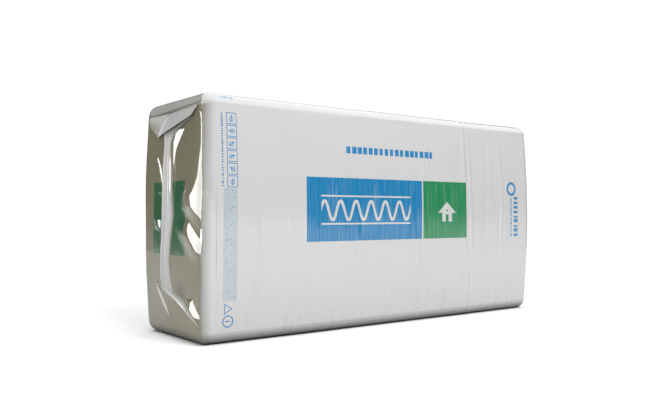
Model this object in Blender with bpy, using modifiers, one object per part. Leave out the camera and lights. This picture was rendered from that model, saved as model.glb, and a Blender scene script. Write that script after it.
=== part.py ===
"""A film-wrapped pack of glass mineral wool insulation batts, standing on its long edge.

Six batts stand side by side, pressed to about half their thickness, inside one sleeve of polythene film.
The film closes over each end of the pack with a gathered seam down the middle, a folded tuck above it
and another below it. +X runs along the pack, +Z is up, and the origin is under its middle, on the floor.
"""

import math

import bmesh
import bpy
from mathutils import Matrix

# One batt as it lies in the pack, and how many the pack holds
BATT_LENGTH = 1.200
BATT_WIDTH = 0.600
BATT_THICKNESS = 0.0528
BATT_COUNT = 6
BATT_GAP = 0.0003

# The film, and the air between it and the wool
FILM_THICKNESS = 0.0005
FILM_CLEARANCE = 0.0003

# The wool pushes the film out into a barrel: how far the faces and the ends stand out at mid height
FACE_BOW = 0.0136
END_BOW = 0.0056
EDGE_RADIUS = 0.028
EDGE_SEGMENTS = 5
ROW_HEIGHT = 0.050

# The gathered seam down each end: its middle, how far it stands proud, its narrow neck and its spread ends
SEAM_MIDDLE = 0.022
SEAM_PROUD = 0.003
SEAM_TOP_DROP = 0.065
SEAM_TOP_HALF_WIDTH = 0.036
SEAM_NECK_TOP_HEIGHT = 0.470
SEAM_NECK_BOTTOM_HEIGHT = 0.230
SEAM_NECK_HALF_WIDTH = 0.027
SEAM_FOOT_HALF_WIDTH = 0.042
SEAM_LAP = 0.006

# The top tuck hangs from a fold under the pack's top edge and stands away from the end at its tip
TUCK_THICKNESS = 0.002
TUCK_FOLD_DROP = 0.030
TUCK_FRONT = 0.146
TUCK_BACK = 0.130
TUCK_TIP = 0.095
TUCK_TIP_DROP = 0.058
TUCK_TILT = math.radians(12)

# The bottom tuck lies against the end as a narrow triangle, with its tip towards the back
FOOT_TIP = 0.102
FOOT_TIP_HEIGHT = 0.140
FOOT_FRONT = 0.133
FOOT_FRONT_HEIGHT = 0.057
FOOT_HEEL = 0.012
FOOT_HEEL_HEIGHT = 0.052
FOOT_PROUD = 0.004

# Behind each top tuck the film is left unwelded along a slit, where the air leaves as the pack is pressed
VENT_LENGTH = 0.060
VENT_HEIGHT = 0.003
VENT_DROP = 0.028
VENT_REACH = 0.0015

# How deep the forms of the seam, the bottom tuck and the slit reach into the pack before it is hollowed
SEAM_ROOT = 0.010
FOOT_ROOT = 0.007
VENT_ROOT = 0.010

WRAP_GAP = FILM_THICKNESS + FILM_CLEARANCE
STACK_DEPTH = BATT_COUNT * BATT_THICKNESS + (BATT_COUNT - 1) * BATT_GAP
PACK_LENGTH = BATT_LENGTH + 2 * WRAP_GAP
PACK_DEPTH = STACK_DEPTH + 2 * WRAP_GAP
PACK_HEIGHT = BATT_WIDTH + 2 * WRAP_GAP


def clear_scene():
    for obj in list(bpy.data.objects):
        bpy.data.objects.remove(obj)


def new_collection(name):
    collection = bpy.data.collections.new(name)
    bpy.context.scene.collection.children.link(collection)
    return collection


def new_material(name, colour, roughness):
    material = bpy.data.materials.new(name)
    material.use_nodes = True
    shader = material.node_tree.nodes["Principled BSDF"]
    shader.inputs["Base Color"].default_value = (*colour, 1.0)
    shader.inputs["Roughness"].default_value = roughness
    shader.inputs["Metallic"].default_value = 0.0
    return material


def new_object(name, bm, collection, material=None):
    mesh = bpy.data.meshes.new(name)
    bm.to_mesh(mesh)
    bm.free()
    obj = bpy.data.objects.new(name, mesh)
    collection.objects.link(obj)
    if material:
        mesh.materials.append(material)
    return obj


def barrel(height):
    """How much of the bow there is at a height: none at the floor and at the top, all of it half way up."""
    return 1 - (2 * height / PACK_HEIGHT - 1) ** 2


def end_reach(height):
    """How far the film's outer face at the ends is from the pack's middle, at a height."""
    return PACK_LENGTH / 2 + END_BOW * barrel(height)


def rounded_box(inset):
    """A mesh of the whole pack with its edges rounded, drawn in by inset on every side, and not yet bowed."""
    bm = bmesh.new()
    bmesh.ops.create_cube(bm, size=1.0)
    size = (PACK_LENGTH - 2 * inset, PACK_DEPTH - 2 * inset, PACK_HEIGHT - 2 * inset)
    bmesh.ops.scale(bm, vec=size, verts=bm.verts)
    bmesh.ops.translate(bm, vec=(0, 0, PACK_HEIGHT / 2), verts=bm.verts)
    bmesh.ops.bevel(
        bm, geom=list(bm.edges), offset=EDGE_RADIUS - inset, segments=EDGE_SEGMENTS,
        profile=0.5, affect="EDGES", material=-1,
    )
    return bm


def all_geometry(bm):
    return list(bm.verts) + list(bm.edges) + list(bm.faces)


def keep_between(bm, low, high):
    """Keeps what lies between two upright planes across the pack, and closes the two cuts."""
    for plane, towards in ((low, -1), (high, 1)):
        bmesh.ops.bisect_plane(
            bm, geom=all_geometry(bm), plane_co=(0, plane, 0), plane_no=(0, towards, 0), clear_outer=True,
        )
        open_edges = [edge for edge in bm.edges if edge.is_boundary]
        if open_edges:
            bmesh.ops.holes_fill(bm, edges=open_edges, sides=len(open_edges))


def bow(bm, first_row=1.0):
    """Cuts the mesh into level rows and pushes each row out by the barrel's share there."""
    rows = round(PACK_HEIGHT / ROW_HEIGHT)
    for row in range(rows - 1):
        height = PACK_HEIGHT * (row + first_row) / rows
        bmesh.ops.bisect_plane(bm, geom=all_geometry(bm), plane_co=(0, 0, height), plane_no=(0, 0, 1))
    for vert in bm.verts:
        share = barrel(vert.co.z)
        vert.co.x *= 1 + END_BOW * share / (PACK_LENGTH / 2)
        vert.co.y *= 1 + FACE_BOW * share / (PACK_DEPTH / 2)
    bmesh.ops.recalc_face_normals(bm, faces=bm.faces)


def whole_form(name, inset, collection, material=None):
    bm = rounded_box(inset)
    bow(bm)
    return new_object(name, bm, collection, material)


def make_batt(number, collection, material):
    """One batt: the slice of the stack that it fills, so the outer ones carry the rounded long edges."""
    front = -STACK_DEPTH / 2 + (number - 1) * (BATT_THICKNESS + BATT_GAP)
    bm = rounded_box(WRAP_GAP)
    keep_between(bm, front, front + BATT_THICKNESS)
    bow(bm)
    return new_object(f"batt_{number}", bm, collection, material)


def flat_plate(name, outline, thickness, place, collection, follows_bow):
    """A plate from an outline in its own XY plane, made a mesh so that a Boolean can read it."""
    curve = bpy.data.curves.new(name + "_outline", "CURVE")
    curve.dimensions = "2D"
    curve.fill_mode = "BOTH"
    curve.extrude = thickness / 2
    spline = curve.splines.new("POLY")
    spline.points.add(len(outline) - 1)
    for point, (across, up) in zip(spline.points, outline):
        point.co = (across, up, 0, 1)
    spline.use_cyclic_u = True
    guide = bpy.data.objects.new(name + "_guide", curve)
    collection.objects.link(guide)
    bpy.context.view_layer.update()
    graph = bpy.context.evaluated_depsgraph_get()
    mesh = bpy.data.meshes.new_from_object(guide.evaluated_get(graph))
    bpy.data.objects.remove(guide)
    bm = bmesh.new()
    bm.from_mesh(mesh)
    bpy.data.meshes.remove(mesh)
    bmesh.ops.remove_doubles(bm, verts=bm.verts, dist=0.00001)
    bmesh.ops.transform(bm, matrix=place, verts=bm.verts)
    if follows_bow:
        bow(bm, first_row=0.5)
    bmesh.ops.recalc_face_normals(bm, faces=bm.faces)
    return new_object(name, bm, collection)


def on_the_end(x, height=0.0, tilt=0.0):
    """Stands a plate's outline up on the -X end: across becomes +Y and up becomes +Z, from a level line."""
    upright = Matrix.Rotation(math.radians(90), 4, "Z") @ Matrix.Rotation(math.radians(90), 4, "X")
    return Matrix.Translation((x, 0, height)) @ Matrix.Rotation(tilt, 4, "Y") @ upright


def at_both_ends(obj):
    mirror = obj.modifiers.new("other_end", "MIRROR")
    mirror.use_axis = (True, False, False)
    mirror.merge_threshold = 0.0001


def hide_helper(obj):
    obj.hide_render = True
    obj.display_type = "WIRE"


def raised_plate(name, outline, proud, root, collection):
    """A plate that stands proud of both ends by the same amount all the way up, with its root sunk in them."""
    thickness = proud + root
    middle = PACK_LENGTH / 2 + proud - thickness / 2
    obj = flat_plate(name, outline, thickness, on_the_end(-middle), collection, follows_bow=True)
    at_both_ends(obj)
    return obj


def foot_ridge(across):
    """The height of the bottom tuck's upper edge, which the seam runs in under."""
    share = (across + FOOT_FRONT) / (FOOT_TIP + FOOT_FRONT)
    return FOOT_FRONT_HEIGHT + share * (FOOT_TIP_HEIGHT - FOOT_FRONT_HEIGHT)


def seam_form(collection):
    """The gathered seam: a strip that is widest where it runs in under the two tucks."""
    half_widths = (
        (SEAM_NECK_BOTTOM_HEIGHT, SEAM_NECK_HALF_WIDTH),
        (SEAM_NECK_TOP_HEIGHT, SEAM_NECK_HALF_WIDTH),
        (PACK_HEIGHT - SEAM_TOP_DROP, SEAM_TOP_HALF_WIDTH),
    )
    foot_front = SEAM_MIDDLE - SEAM_FOOT_HALF_WIDTH
    foot_back = SEAM_MIDDLE + SEAM_FOOT_HALF_WIDTH
    outline = [(foot_front, foot_ridge(foot_front) - SEAM_LAP)]
    outline += [(SEAM_MIDDLE - half, height) for height, half in half_widths]
    outline += [(SEAM_MIDDLE + half, height) for height, half in reversed(half_widths)]
    outline += [(foot_back, foot_ridge(foot_back) - SEAM_LAP)]
    return raised_plate("seam_form", outline, SEAM_PROUD, SEAM_ROOT, collection)


def bottom_tuck_form(collection):
    """The bottom tuck: a narrow triangle laid on the end, rising from its front foot to its tip."""
    outline = [(-FOOT_FRONT, FOOT_FRONT_HEIGHT), (FOOT_HEEL, FOOT_HEEL_HEIGHT), (FOOT_TIP, FOOT_TIP_HEIGHT)]
    return raised_plate("bottom_tuck_form", outline, FOOT_PROUD, FOOT_ROOT, collection)


def top_tuck_form(collection):
    """The top tuck: a triangle hung from its fold and tilted, so that its lower edge stands off the end."""
    outline = [(-TUCK_FRONT, 0), (TUCK_TIP, -TUCK_TIP_DROP), (TUCK_BACK, 0)]
    fold = PACK_HEIGHT - TUCK_FOLD_DROP
    place = on_the_end(-end_reach(fold), fold, TUCK_TILT)
    obj = flat_plate("top_tuck_form", outline, TUCK_THICKNESS, place, collection, follows_bow=False)
    at_both_ends(obj)
    return obj


def vent_form(collection):
    """The slit behind the top tuck: a box through the film that stops short of the tuck."""
    height = PACK_HEIGHT - TUCK_FOLD_DROP - VENT_DROP
    outer = end_reach(height) + VENT_REACH
    bm = bmesh.new()
    bmesh.ops.create_cube(bm, size=1.0)
    bmesh.ops.scale(bm, vec=(VENT_REACH + VENT_ROOT, VENT_LENGTH, VENT_HEIGHT), verts=bm.verts)
    bmesh.ops.translate(bm, vec=((VENT_ROOT + VENT_REACH) / 2 - outer, 0, height), verts=bm.verts)
    obj = new_object("vent_form", bm, collection)
    at_both_ends(obj)
    return obj


def inside_form(collection):
    """All that the film leaves open: the room for the batts, and the two slits out of it."""
    inside = whole_form("inside_form", FILM_THICKNESS, collection)
    add_boolean(inside, "UNION", vent_form(collection))
    return inside


def add_boolean(obj, operation, other):
    modifier = obj.modifiers.new(f"{operation.lower()}_{other.name}", "BOOLEAN")
    modifier.operation = operation
    modifier.object = other
    hide_helper(other)


def make_film(collection, helpers, material):
    """The film: the pack's outer form with the folds joined on, less its inside."""
    film = whole_form("film_wrap", 0, collection, material)
    add_boolean(film, "UNION", seam_form(helpers))
    add_boolean(film, "UNION", bottom_tuck_form(helpers))
    add_boolean(film, "UNION", top_tuck_form(helpers))
    add_boolean(film, "DIFFERENCE", inside_form(helpers))


def main():
    clear_scene()
    pack = new_collection("insulation_batt_pack")
    helpers = new_collection("forms_to_join_and_cut")
    film_white = new_material("white_polythene_film", (0.70, 0.70, 0.70), 0.35)
    wool = new_material("glass_mineral_wool", (0.30, 0.24, 0.13), 0.95)
    make_film(pack, helpers, film_white)
    for number in range(1, BATT_COUNT + 1):
        make_batt(number, pack, wool)


main()
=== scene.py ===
# %% [markdown]
# # A film-wrapped pack of glass wool batts
#
# The real thing is six batts of brown glass wool, pressed to half their thickness and wrapped in
# polythene film. The film is printed white on the long sides. At the ends it is clear, so the wool
# shows through, and there it is gathered into an upright band with a folded tuck above and below.
#
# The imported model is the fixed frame: everything below is laid on it, in metres, with X along the
# pack, the printed face towards -Y and the floor at z = 0.

# %% Load the frame
import math
import random

import bmesh
import bpy
import numpy as np
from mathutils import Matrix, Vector


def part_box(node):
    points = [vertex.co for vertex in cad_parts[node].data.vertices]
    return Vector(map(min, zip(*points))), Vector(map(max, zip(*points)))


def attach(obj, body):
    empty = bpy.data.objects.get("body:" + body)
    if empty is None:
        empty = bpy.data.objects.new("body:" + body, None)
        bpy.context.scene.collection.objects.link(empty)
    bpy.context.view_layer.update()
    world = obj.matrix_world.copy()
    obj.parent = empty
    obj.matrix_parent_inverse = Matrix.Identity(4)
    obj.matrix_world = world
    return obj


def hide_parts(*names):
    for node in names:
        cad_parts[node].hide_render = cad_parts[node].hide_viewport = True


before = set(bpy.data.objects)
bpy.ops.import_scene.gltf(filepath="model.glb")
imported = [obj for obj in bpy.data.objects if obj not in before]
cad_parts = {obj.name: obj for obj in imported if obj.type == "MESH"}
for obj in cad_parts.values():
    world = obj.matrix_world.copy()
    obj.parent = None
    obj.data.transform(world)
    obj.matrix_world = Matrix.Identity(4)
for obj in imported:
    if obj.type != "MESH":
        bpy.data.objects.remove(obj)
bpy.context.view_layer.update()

# %% [markdown]
# ## Sizes
#
# The pack is a box with rounded edges whose faces swell a little between them. These few driving
# sizes are the ones that the solids were made with. The loaded wool gives the overall length,
# and the print line shows it beside the value here, so a slip would show at once.

# %% Driving sizes of the pack
PACK_LENGTH = 1.2016
PACK_DEPTH = 0.3199
PACK_HEIGHT = 0.6016
EDGE_RADIUS = 0.028
FACE_BOW = 0.0136
END_BOW = 0.0056
FILM_LIFT = 0.0010

wool_low, wool_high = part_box("batt_1")
print("wool length", round(wool_high[0] - wool_low[0], 4), "pack length", PACK_LENGTH)

# %% [markdown]
# ## Small helpers
#
# Colours are written as sRGB hex values, the way a colour picker shows them, and the renderer
# needs them linear. One function turns them. A second adds a shader node with its settings and
# links, so that a material reads as a list of nodes. `smooth` is the usual soft step from 0 to 1.

# %% Colours, nodes and soft steps
def linear(hex_colour):
    """An sRGB hex colour as the four linear numbers that a socket takes."""
    channels = [int(hex_colour[i:i + 2], 16) / 255 for i in (1, 3, 5)]
    return [c / 12.92 if c <= 0.04045 else ((c + 0.055) / 1.055) ** 2.4 for c in channels] + [1.0]


def add(tree, kind, inputs=None, **settings):
    """Adds a node, sets its fields, sets or links its inputs, and returns its outputs."""
    node = tree.nodes.new(kind)
    for field, value in settings.items():
        setattr(node, field, value)
    for socket, value in (inputs or {}).items():
        if isinstance(value, bpy.types.NodeSocket):
            tree.links.new(value, node.inputs[socket])
        else:
            node.inputs[socket].default_value = value
    return node.outputs


def new_material(name):
    """An empty material and its node tree."""
    material = bpy.data.materials.new(name)
    material.use_nodes = True
    material.node_tree.nodes.clear()
    return material, material.node_tree


def smooth(value, low, high):
    """0 below low, 1 above high, and a soft step between them."""
    share = np.clip((value - low) / (high - low), 0.0, 1.0)
    return share * share * (3.0 - 2.0 * share)


MATH = "ShaderNodeMath"
MIX = "ShaderNodeMix"
NOISE = "ShaderNodeTexNoise"

# %% [markdown]
# ## The pack's surface as a function
#
# Film drawn tight over a soft block follows one shape: a rounded box with swelling faces. Instead
# of modelling that shape several times, `on_pack` takes points of a plain box and moves them onto
# it. Each point is split into the nearest point of an inner box and the rest, and the rest is
# given the length of the edge radius. That is what rounds the edges. The upright edge between the
# clear end and the printed face is drawn tighter than the others, so it uses a squarer curve.

# %% From a plain box to the pack
TIGHT_EDGE = 18.0
SOFT_EDGE = 2.0


def on_pack(points, lift):
    """Points of a plain box moved onto the pack, lift metres above it, and their directions."""
    half = np.array([PACK_LENGTH, PACK_DEPTH, PACK_HEIGHT]) / 2
    centred = points - np.array([0.0, 0.0, half[2]])
    core = np.clip(centred, -half + EDGE_RADIUS, half - EDGE_RADIUS)
    rest = centred - core
    power = np.where((centred[:, 0] < 0) & (centred[:, 1] < 0), TIGHT_EDGE, SOFT_EDGE)
    level = (np.abs(rest[:, 0]) ** power + np.abs(rest[:, 1]) ** power) ** (1 / power)
    length = np.maximum(np.sqrt(level ** 2 + rest[:, 2] ** 2), 1e-9)
    away = rest / length[:, None]
    outward = away / np.maximum(np.linalg.norm(away, axis=1), 1e-9)[:, None]
    placed = core + away * EDGE_RADIUS + outward * np.asarray(lift)[:, None]
    share = 1.0 - (placed[:, 2] / half[2]) ** 2
    placed[:, 0] *= 1.0 + END_BOW * share / half[0]
    placed[:, 1] *= 1.0 + FACE_BOW * share / half[1]
    placed[:, 2] += half[2]
    return placed, outward


# %% [markdown]
# ## A box of even cells
#
# `grid_box` makes the plain box. `create_cube` gives the six faces, and `subdivide_edges` cuts
# the edges that run along each axis, which turns each face into a grid. `stops` then says where
# the cells go along each axis: many narrow ones round an edge, wider ones across a flat face.
# The faces that the film doesn't cover are deleted.

# %% A subdivided box with chosen stops
def grid_box(cells, stops, open_sides):
    """A bmesh box. stops gives, for each axis, a list of (cell number, metres) to spread over."""
    bm = bmesh.new()
    bmesh.ops.create_cube(bm, size=1.0)
    for axis in range(3):
        others = [i for i in range(3) if i != axis]
        along = []
        for edge in bm.edges:
            run = edge.verts[1].co - edge.verts[0].co
            if all(abs(run[i]) < 1e-6 for i in others):
                along.append(edge)
        bmesh.ops.subdivide_edges(bm, edges=along, cuts=cells[axis] - 1, use_grid_fill=True)
    unwanted = []
    for face in bm.faces:
        middle = face.calc_center_median()
        if any(abs(middle[axis] - side / 2) < 1e-6 for axis, side in open_sides):
            unwanted.append(face)
    bmesh.ops.delete(bm, geom=unwanted, context="FACES")
    for vert in bm.verts:
        for axis in range(3):
            numbers = [stop[0] for stop in stops[axis]]
            places = [stop[1] for stop in stops[axis]]
            vert.co[axis] = np.interp((vert.co[axis] + 0.5) * cells[axis], numbers, places)
    return bm


# %% [markdown]
# Every piece is finished in the same way. The film is modelled as one surface, and Solidify gives
# it a wall towards the inside, so the outer face stays where it was drawn. Smooth shading hides
# the cells, and edges that bend sharply stay crisp.

# %% Finishing a piece
def finish_piece(name, bm, material, thickness=0.0, sharp=math.radians(50)):
    """Makes the object, thickens it inwards, shades it smooth and lets it ride on the body."""
    mesh = bpy.data.meshes.new(name)
    bm.to_mesh(mesh)
    bm.free()
    piece = bpy.data.objects.new(name, mesh)
    bpy.context.scene.collection.objects.link(piece)
    if thickness:
        wall = piece.modifiers.new("wall", "SOLIDIFY")
        wall.thickness = thickness
        wall.offset = -1.0
        view = piece.evaluated_get(bpy.context.evaluated_depsgraph_get())
        piece.data = bpy.data.meshes.new_from_object(view)
        piece.modifiers.clear()
        piece.data.name = name
    piece.data.shade_smooth()
    piece.data.set_sharp_from_angle(angle=sharp)
    piece.data.materials.clear()
    piece.data.materials.append(material)
    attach(piece, "root")
    print(name, len(piece.data.polygons), "faces")
    return piece


# %% [markdown]
# ## Glass wool
#
# Glass wool is spun glass held by a brown binder. It is matt, because light goes in between the
# fibres and comes out scattered, so the roughness is 1 and the colour wanders between straw and
# brown. The strands are drawn at about 4 mm, coarser than the real fibre, so that they show.

# %% Material: glass wool
def glass_wool():
    """Matt straw to brown, with strands drawn along the batt."""
    material, tree = new_material("glass_wool")
    place = add(tree, "ShaderNodeTexCoord")["Object"]
    strands = add(tree, "ShaderNodeMapping", {"Vector": place, "Scale": (60.0, 250.0, 250.0)})[0]
    fibre = add(tree, NOISE, {"Vector": strands, "Scale": 1.0, "Detail": 6.0, "Roughness": 0.7})[0]
    cloud = add(tree, NOISE, {"Vector": place, "Scale": 14.0, "Detail": 3.0})[0]
    tint = add(tree, MIX, {"Factor": cloud, "A": linear("#9C8A5C"), "B": linear("#B5A57A")},
               data_type="RGBA")["Result"]
    colour = add(tree, MIX, {"Factor": fibre, "A": tint, "B": linear("#7B6B45")},
                 data_type="RGBA")["Result"]
    bump = add(tree, "ShaderNodeBump", {"Height": fibre, "Strength": 0.6, "Distance": 0.002})[0]
    shader = add(tree, "ShaderNodeBsdfPrincipled",
                 {"Base Color": colour, "Roughness": 1.0, "Sheen Weight": 0.2, "Normal": bump})
    add(tree, "ShaderNodeOutputMaterial", {"Surface": shader["BSDF"]})
    return material


# %% [markdown]
# ## Printed polythene film
#
# The white film is polythene coloured with titanium white. It is smooth and stretched, so it has
# a fairly sharp gloss (IOR 1.51) with fine upright streaks where it was drawn over the block.
#
# The print is a generic one, drawn with plain shapes. Each shape is a mask: a node network that
# is 1 inside the shape and 0 outside it, worked out from the surface's own x and z in metres.
# The masks are layered over the white, one ink after another, as a printing press does.

# %% Plain shapes that the press prints
def rectangle(tree, across, up, left, right, foot, head):
    """A mask that is 1 between left and right, and between foot and head."""
    wide = add(tree, MATH, {0: across, 1: (left + right) / 2, 2: (right - left) / 2},
               operation="COMPARE")[0]
    tall = add(tree, MATH, {0: up, 1: (foot + head) / 2, 2: (head - foot) / 2},
               operation="COMPARE")[0]
    return add(tree, MATH, {0: wide, 1: tall}, operation="MULTIPLY")[0]


def ring(tree, across, up, middle, radius, line):
    """A mask for a ring of a line's width, whose middle line has the radius."""
    flat = add(tree, "ShaderNodeCombineXYZ", {0: across, 1: up})[0]
    reach = add(tree, "ShaderNodeVectorMath", {0: flat, 1: (middle[0], middle[1], 0.0)},
                operation="DISTANCE")["Value"]
    return add(tree, MATH, {0: reach, 1: radius, 2: line / 2}, operation="COMPARE")[0]


def triangle(tree, across, up, middle, size, line):
    """A mask for a triangle's outline with its point to the right."""
    high = add(tree, MATH, {0: up, 1: -middle[1]}, operation="ADD")[0]
    high = add(tree, MATH, {0: high}, operation="ABSOLUTE")[0]
    high = add(tree, MATH, {0: high, 1: 0.87}, operation="MULTIPLY")[0]
    right = add(tree, MATH, {0: across, 1: -middle[0]}, operation="ADD")[0]
    slant = add(tree, MATH, {0: right, 1: 0.5, 2: high}, operation="MULTIPLY_ADD")[0]
    back = add(tree, MATH, {0: right, 1: -1.0}, operation="MULTIPLY")[0]
    reach = add(tree, MATH, {0: slant, 1: back}, operation="MAXIMUM")[0]
    return add(tree, MATH, {0: reach, 1: size / 2, 2: line / 2}, operation="COMPARE")[0]


# %% Rows of blocks, specks and the wave
def blocks(tree, along, span, pitch, narrow):
    """A mask for a row of blocks of uneven length, one to each pitch, inside the span mask."""
    steps = add(tree, MATH, {0: along, 1: pitch}, operation="DIVIDE")[0]
    number = add(tree, MATH, {0: steps}, operation="FLOOR")[0]
    inside = add(tree, MATH, {0: steps}, operation="FRACT")[0]
    chance = add(tree, "ShaderNodeTexWhiteNoise", {"W": number}, noise_dimensions="1D")["Value"]
    length = add(tree, MATH, {0: chance, 1: 0.85 - narrow, 2: narrow}, operation="MULTIPLY_ADD")[0]
    filled = add(tree, MATH, {0: inside, 1: length}, operation="LESS_THAN")[0]
    return add(tree, MATH, {0: filled, 1: span}, operation="MULTIPLY")[0]


def specks(tree, across, up):
    """A mask of sparse small dots about 12 mm apart, of which about half are printed."""
    flat = add(tree, "ShaderNodeCombineXYZ", {0: across, 1: up})[0]
    cells = add(tree, "ShaderNodeTexVoronoi", {"Vector": flat, "Scale": 80.0},
                voronoi_dimensions="2D")
    dot = add(tree, MATH, {0: cells["Distance"], 1: 0.10}, operation="LESS_THAN")[0]
    chance = add(tree, "ShaderNodeSeparateXYZ", {0: cells["Color"]})[0]
    printed = add(tree, MATH, {0: chance, 1: 0.5}, operation="GREATER_THAN")[0]
    return add(tree, MATH, {0: dot, 1: printed}, operation="MULTIPLY")[0]


def batt_wave(tree, across, up, middle, height, pitch, line):
    """The looping line that a drawing uses for insulation, as a mask."""
    turn = add(tree, MATH, {0: across, 1: 2 * math.pi / pitch}, operation="MULTIPLY")[0]
    sine = add(tree, MATH, {0: turn}, operation="SINE")[0]
    cosine = add(tree, MATH, {0: turn}, operation="COSINE")[0]
    curve = add(tree, MATH, {0: sine, 1: height / 2, 2: middle}, operation="MULTIPLY_ADD")[0]
    off = add(tree, MATH, {0: up, 1: curve}, operation="SUBTRACT")[0]
    off = add(tree, MATH, {0: off}, operation="ABSOLUTE")[0]
    steep = add(tree, MATH, {0: cosine, 1: math.pi * height / pitch}, operation="MULTIPLY")[0]
    steep = add(tree, MATH, {0: steep, 1: steep, 2: 1.0}, operation="MULTIPLY_ADD")[0]
    steep = add(tree, MATH, {0: steep}, operation="SQRT")[0]
    near = add(tree, MATH, {0: off, 1: steep}, operation="DIVIDE")[0]
    return add(tree, MATH, {0: near, 1: line / 2}, operation="LESS_THAN")[0]


# %% [markdown]
# The sizes below are in metres on the pack. The two panels, the lines of marks and the narrow
# column at the left are where the real pack has its print. What they hold is this model's own:
# a drafting wave for insulation, a small house, rows of plain blocks, and simple figures.

# %% The print on the long side
PANEL_FOOT = 0.240
PANEL_HEAD = 0.409
BLUE_PANEL = (-0.309, 0.1025)
GREEN_PANEL = (0.107, 0.291)
WAVE_SPAN = (-0.262, 0.056)
WAVE_MIDDLE = 0.322
WAVE_HEIGHT = 0.048
WAVE_PITCH = 0.053
WAVE_STROKE = 0.0085
RULE_FEET = (0.358, 0.284)
RULE_STROKE = 0.0045
HOUSE_MIDDLE = 0.207
HOUSE_HALF = 0.021
HOUSE_FOOT = 0.290
EAVES = 0.322
DOOR_HALF = 0.006
DOOR_HEAD = 0.311
ROOF_SLOPE = 0.85
ROOF_PEAK = 0.016
ROOF_HALF_STROKE = 0.0105
ROOF_DROP = 0.006
HEADLINE = (-0.177, 0.148, 0.476, 0.495)
HEADLINE_PITCH = 0.0195
PALE_STRIP = (-0.551, -0.513, 0.103, 0.374)
INK_BLUE = "#126F9E"
INK_GREEN = "#1E774A"
INK_LINE = "#2674A4"
INK_PALE = "#A2ABB0"
INK_WHITE = "#B8B8B8"


def side_print(tree, x, z):
    """The inks of the panels, the headline and the pale strip, each as a colour and a mask."""
    inks = []
    inks.append((INK_BLUE, rectangle(tree, x, z, *BLUE_PANEL, PANEL_FOOT, PANEL_HEAD)))
    inks.append((INK_GREEN, rectangle(tree, x, z, *GREEN_PANEL, PANEL_FOOT, PANEL_HEAD)))
    wave_span = rectangle(tree, x, z, *WAVE_SPAN, PANEL_FOOT, PANEL_HEAD)
    wave = batt_wave(tree, x, z, WAVE_MIDDLE, WAVE_HEIGHT, WAVE_PITCH, WAVE_STROKE)
    inks.append((INK_WHITE, add(tree, MATH, {0: wave, 1: wave_span}, operation="MULTIPLY")[0]))
    for foot in RULE_FEET:
        inks.append((INK_WHITE, rectangle(tree, x, z, *WAVE_SPAN, foot, foot + RULE_STROKE)))
    wall = rectangle(tree, x, z, HOUSE_MIDDLE - HOUSE_HALF, HOUSE_MIDDLE + HOUSE_HALF,
                     HOUSE_FOOT, EAVES)
    roof_side = add(tree, MATH, {0: x, 1: -HOUSE_MIDDLE}, operation="ADD")[0]
    roof_side = add(tree, MATH, {0: roof_side}, operation="ABSOLUTE")[0]
    roof_rise = add(tree, MATH, {0: z, 1: -EAVES}, operation="ADD")[0]
    roof_sum = add(tree, MATH, {0: roof_side, 1: ROOF_SLOPE, 2: roof_rise},
                   operation="MULTIPLY_ADD")[0]
    roof = add(tree, MATH, {0: roof_sum, 1: ROOF_PEAK, 2: ROOF_HALF_STROKE}, operation="COMPARE")[0]
    above = add(tree, MATH, {0: roof_rise, 1: -ROOF_DROP}, operation="GREATER_THAN")[0]
    roof = add(tree, MATH, {0: roof, 1: above}, operation="MULTIPLY")[0]
    inks.append((INK_WHITE, wall))
    inks.append((INK_WHITE, roof))
    inks.append((INK_GREEN, rectangle(tree, x, z, HOUSE_MIDDLE - DOOR_HALF, HOUSE_MIDDLE + DOOR_HALF,
                                      HOUSE_FOOT, DOOR_HEAD)))
    headline = rectangle(tree, x, z, *HEADLINE)
    inks.append((INK_LINE, blocks(tree, x, headline, HEADLINE_PITCH, 0.62)))
    strip = rectangle(tree, x, z, *PALE_STRIP)
    inks.append((INK_PALE, strip))
    dots = add(tree, MATH, {0: strip, 1: specks(tree, x, z)}, operation="MULTIPLY")[0]
    inks.append((INK_LINE, dots))
    return inks


# %% The framed figures in the narrow column
FRAME_COUNT = 6
FRAME_PITCH = 0.0304
FRAMES_FOOT = 0.3750
FRAMES_ACROSS = (-0.541, -0.511)
FRAME_HALF = 0.0132
FRAME_HALF_STROKE = 0.0009
FIGURE_ARM = 0.0085
FIGURE_HALF_STROKE = 0.0012
FIGURE_CIRCLE = ((0.002, 0.0), 0.0050, 0.0016)


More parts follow.
